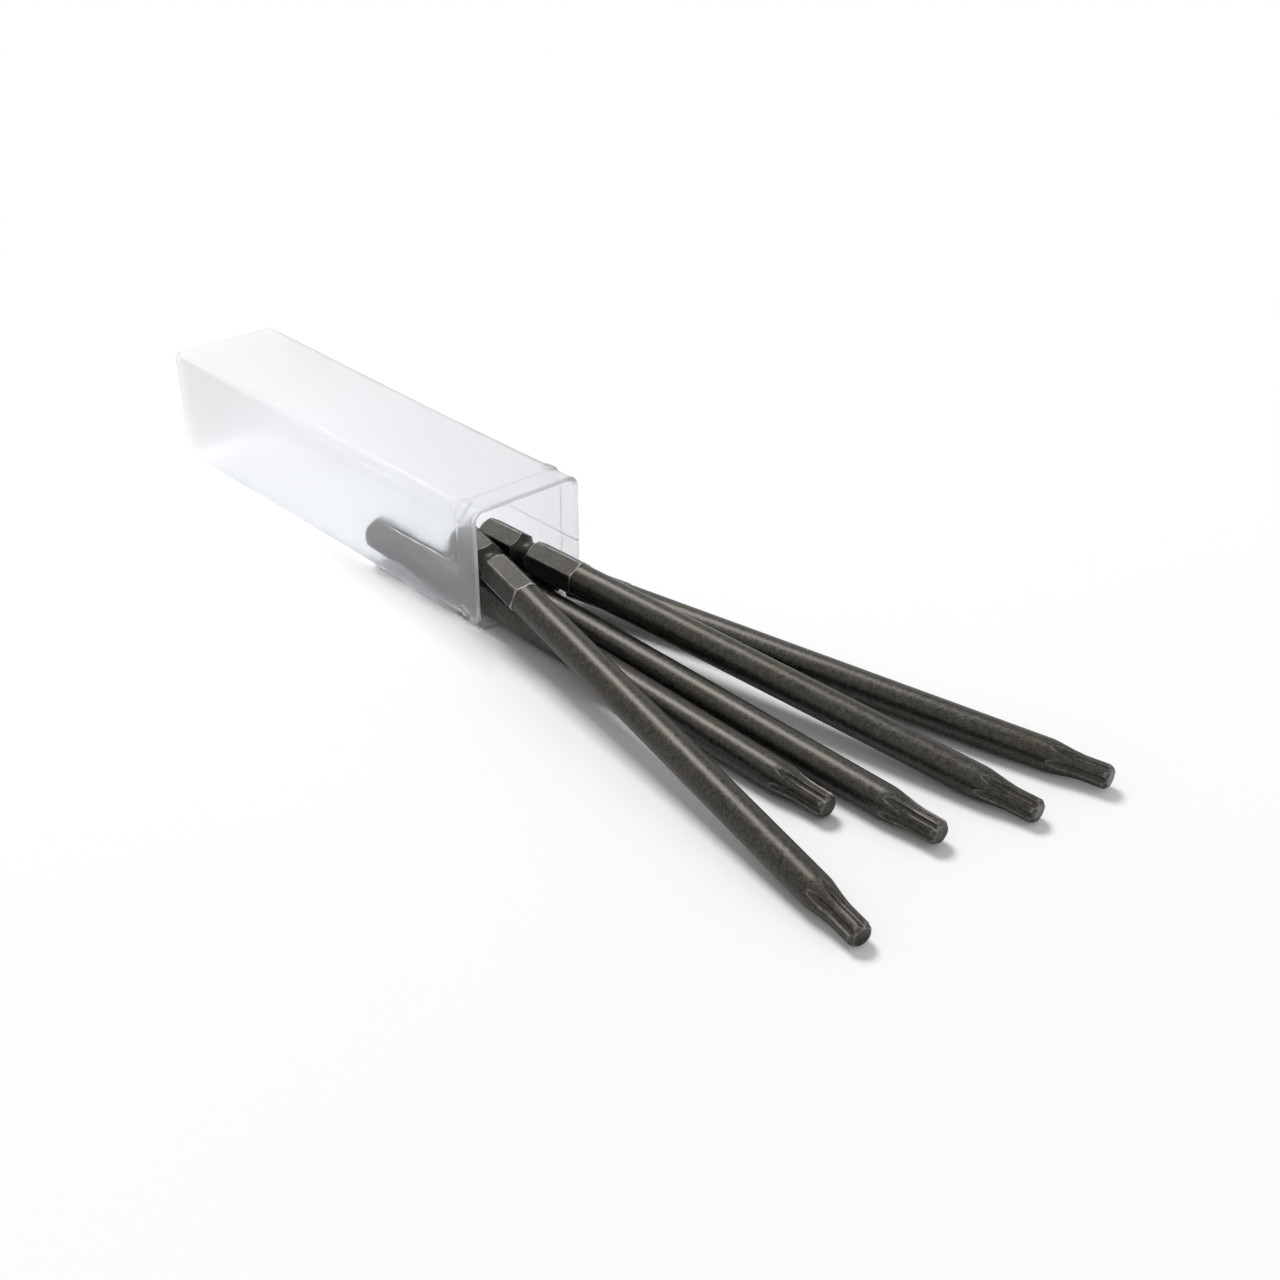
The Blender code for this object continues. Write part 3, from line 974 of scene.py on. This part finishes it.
def add_backdrop(settings):
    """A world that looks white and lights the scene evenly."""
    world = bpy.data.worlds.new("studio")
    world.use_nodes = True
    bpy.context.scene.world = world
    tree = NodeTree(world.node_tree)
    seen = seen_by_eye(tree)
    strength = tree.math("ADD", settings.room_light, tree.math("MULTIPLY", seen, 1.0 - settings.room_light))
    background = world.node_tree.nodes["Background"]
    tree.set(background, "Color", (1.0, 1.0, 1.0, 1.0))
    tree.set(background, "Strength", strength)


def add_lamp(name, target, towards, size, power):
    """A soft area lamp that faces the target."""
    lamp = bpy.data.lights.new(name, "AREA")
    lamp.shape = "RECTANGLE"
    lamp.size, lamp.size_y = size
    lamp.energy = power
    holder = bpy.data.objects.new(name, lamp)
    bpy.context.scene.collection.objects.link(holder)
    away = Vector(towards).normalized()
    holder.location = Vector(target) + away * LAMP_DISTANCE
    holder.rotation_mode = "QUATERNION"
    holder.rotation_quaternion = (-away).to_track_quat("-Z", "Y")


def add_camera(settings):
    """The camera, at its angle and distance from the target."""
    turn, rise = settings.azimuth, settings.elevation
    back = Vector((math.sin(turn) * math.cos(rise), -math.cos(turn) * math.cos(rise), math.sin(rise)))
    right = (-back).cross(Vector((0, 0, 1))).normalized()
    upward = right.cross(-back)
    right, upward = (right * math.cos(settings.roll) + upward * math.sin(settings.roll),
                     upward * math.cos(settings.roll) - right * math.sin(settings.roll))
    camera = bpy.data.cameras.new("camera")
    camera.sensor_width = 36.0
    camera.lens = settings.lens
    camera.clip_start = 0.01
    camera.clip_end = 20.0
    holder = bpy.data.objects.new("camera", camera)
    bpy.context.scene.collection.objects.link(holder)
    matrix = Matrix((right, upward, back)).transposed().to_4x4()
    matrix.translation = Vector(settings.target) + back * settings.distance
    holder.matrix_world = matrix
    bpy.context.scene.camera = holder
    bpy.context.scene.view_settings.view_transform = "Standard"


class VIEW3D_PT_bit_set(bpy.types.Panel):
    """Lists the pieces of the bit set"""

    bl_label = "Bit Set"
    bl_idname = "VIEW3D_PT_bit_set"
    bl_space_type = "VIEW_3D"
    bl_region_type = "UI"
    bl_category = "Bit Set"

    def draw(self, context):
        layout = self.layout
        scene = context.scene
        for operator, settings in ((MESH_OT_add_clear_case, scene.case_settings),
                                   (MESH_OT_add_long_bits, scene.bit_settings),
                                   (SCENE_OT_add_bit_set_stage, scene.stage_settings)):
            layout.operator(operator.bl_idname)
            box = layout.box()
            for name in settings.bl_rna.properties.keys():
                if name not in ("rna_type", "name"):
                    box.prop(settings, name)


CLASSES = (BitSettings, CaseSettings, StageSettings, MESH_OT_add_long_bits, MESH_OT_add_clear_case,
           SCENE_OT_add_bit_set_stage, VIEW3D_PT_bit_set)
GROUPS = {"bit_settings": BitSettings, "case_settings": CaseSettings, "stage_settings": StageSettings}


def register():
    for item in CLASSES:
        bpy.utils.register_class(item)
    for name, group in GROUPS.items():
        setattr(bpy.types.Scene, name, PointerProperty(type=group))


def unregister():
    for name in GROUPS:
        delattr(bpy.types.Scene, name)
    for item in reversed(CLASSES):
        bpy.utils.unregister_class(item)


def main():
    register()
    bpy.ops.mesh.add_clear_case()
    bpy.ops.mesh.add_long_bits()
    bpy.ops.scene.add_bit_set_stage()
    bpy.context.view_layer.update()


if __name__ == "__main__":
    main()
